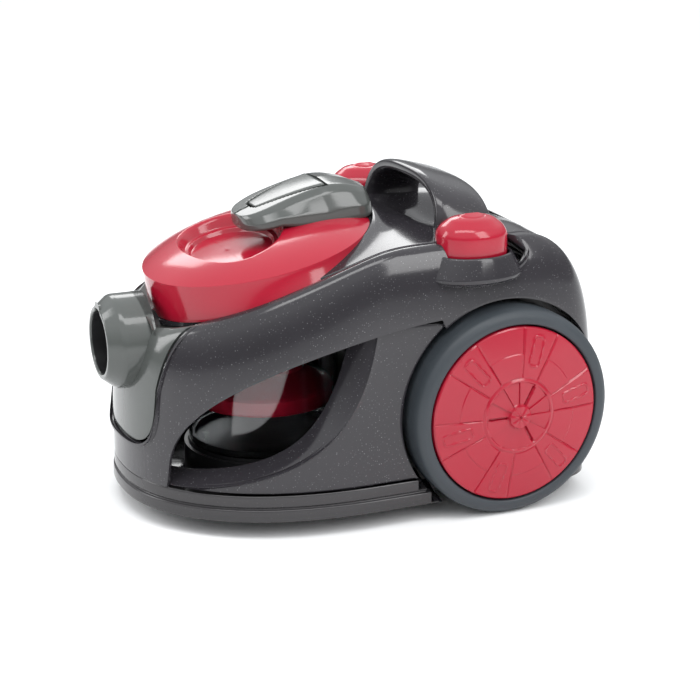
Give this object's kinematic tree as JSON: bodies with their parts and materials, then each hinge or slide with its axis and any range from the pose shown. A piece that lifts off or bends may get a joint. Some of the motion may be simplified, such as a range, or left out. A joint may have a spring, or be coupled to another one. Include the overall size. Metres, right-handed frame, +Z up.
{
  "type": "canister vacuum cleaner",
  "caption": "Canister vacuum cleaner with a hose inlet at the nose, a lift-out dust cup, a carry handle and large rear wheels.",
  "frame": {"origin": "middle of the footprint's bounding box, on the floor", "axes": "+Z up, -Y towards the hose inlet at the front, +X to the object's left"},
  "size_m": [0.306, 0.395, 0.2651],
  "materials": {
    "speckled_shell": "high gloss dark grey with fine pale metallic flecks",
    "base_gloss": "gloss dark grey",
    "grey_gloss": "gloss mid grey",
    "red_gloss": "gloss crimson",
    "black_plastic": "fine texture",
    "tyre_rubber": "matte blue-grey rubber",
    "seal_rubber": "soft black rubber",
    "clear_plastic": "clear moulded plastic",
    "steel": "plated",
    "cast_alloy": "as cast",
    "mesh_grey": "fine texture",
    "filter_paper": "pleated filter paper",
    "reel_plastic": "natural plastic"
  },
  "bodies": {
    "body": {"upper_shell": "speckled_shell", "side_panel_left": "speckled_shell", "side_panel_right": "speckled_shell", "rear_deck": "speckled_shell", "cup_rim": "speckled_shell", "button_bezel_left": "speckled_shell", "button_bezel_right": "speckled_shell", "base_pan": "base_gloss", "rear_cover": "base_gloss", "nose_cover": "grey_gloss", "carry_handle": "grey_gloss", "filter_tray": "black_plastic", "power_switch": "black_plastic", "wheel_well_left": "black_plastic", "wheel_well_right": "black_plastic", "inlet_duct": "black_plastic", "cup_seat": "black_plastic", "outlet_duct": "black_plastic", "chassis_plate": "black_plastic", "reel_bracket": "black_plastic", "cord_outlet": "black_plastic", "inlet_seal": "seal_rubber", "motor_mounts": "seal_rubber", "power_spring": "steel", "rewind_spring": "steel", "brake_pivot": "steel", "axle_left": "steel", "axle_right": "steel", "axle_washers": "steel", "reel_axle": "steel", "reel_spring_case": "steel", "screws": "steel", "motor_can": "steel", "fan_housing": "cast_alloy", "exhaust_filter": "filter_paper"},
    "wheel_left": {"tyre_left": "tyre_rubber", "wheel_disc_left": "black_plastic", "hubcap_left": "red_gloss"},
    "wheel_right": {"tyre_right": "tyre_rubber", "wheel_disc_right": "black_plastic", "hubcap_right": "red_gloss"},
    "caster": {"caster_stem": "steel", "caster_fork": "black_plastic", "caster_pin": "steel"},
    "caster_roller": {"caster_wheel": "tyre_rubber"},
    "power_key": {"power_button": "red_gloss"},
    "rewind_key": {"rewind_button": "red_gloss"},
    "brake": {"brake_lever": "black_plastic"},
    "reel": {"cord_reel": "reel_plastic"},
    "rotor": {"impeller": "cast_alloy"},
    "grille": {"exhaust_grille": "black_plastic"},
    "cup": {"cup_wall": "clear_plastic", "cup_base": "black_plastic", "separator": "red_gloss", "shroud": "mesh_grey"},
    "lid": {"cup_lid": "red_gloss", "lid_seal": "seal_rubber", "cup_handle": "grey_gloss", "cup_filter": "filter_paper"},
    "release_key": {"release_button": "grey_gloss"}
  },
  "joints": [
    {"name": "wheel_left_spin", "type": "hinge", "parent": "body", "child": "wheel_left", "pos_m": [0.12, 0.1, 0.085], "axis": [1, 0, 0], "continuous": true},
    {"name": "wheel_right_spin", "type": "hinge", "parent": "body", "child": "wheel_right", "pos_m": [-0.12, 0.1, 0.085], "axis": [1, 0, 0], "continuous": true},
    {"name": "caster_swivel", "type": "hinge", "parent": "body", "child": "caster", "pos_m": [0, -0.15, 0.03], "axis": [0, 0, 1], "continuous": true},
    {"name": "caster_roll", "type": "hinge", "parent": "caster", "child": "caster_roller", "pos_m": [0, -0.144, 0.011], "axis": [1, 0, 0], "continuous": true},
    {"name": "power_press", "type": "slide", "parent": "body", "child": "power_key", "axis": [0, 0, -1], "range_m": [0, 0.0035], "stiffness_N_per_m": 900, "springref_m": -0.004, "deforming": ["power_spring"]},
    {"name": "rewind_press", "type": "slide", "parent": "body", "child": "rewind_key", "axis": [0, 0, -1], "range_m": [0, 0.0035], "stiffness_N_per_m": 900, "springref_m": -0.004, "deforming": ["rewind_spring"]},
    {"name": "brake_swing", "type": "hinge", "parent": "body", "child": "brake", "pos_m": [-0.086, 0.076, 0.197], "axis": [0, -1, 0], "range_deg": [0, 15]},
    {"name": "reel_spin", "type": "hinge", "parent": "body", "child": "reel", "pos_m": [0, 0.088, 0.17], "axis": [0, 0, 1], "continuous": true},
    {"name": "motor_spin", "type": "hinge", "parent": "body", "child": "rotor", "pos_m": [0, 0.08, 0.086], "axis": [0, 1, 0], "continuous": true},
    {"name": "grille_open", "type": "hinge", "parent": "body", "child": "grille", "pos_m": [0, 0.1432, 0.218], "axis": [1, 0, 0], "range_deg": [0, 75]},
    {"name": "cup_lift", "type": "slide", "parent": "body", "child": "cup", "axis": [0, 0, 1], "range_m": [0, 0.2]},
    {"name": "lid_lift", "type": "slide", "parent": "cup", "child": "lid", "axis": [0, 0, 1], "range_m": [0, 0.08]},
    {"name": "release_press", "type": "slide", "parent": "lid", "child": "release_key", "axis": [0, 0.2113, -0.9774], "range_m": [0, 0.002], "stiffness_N_per_m": 600, "springref_m": -0.003}
  ],
  "couplings": [
    {"joint": "brake_swing", "follows": "rewind_press", "rad_per_m": 70}
  ]
}
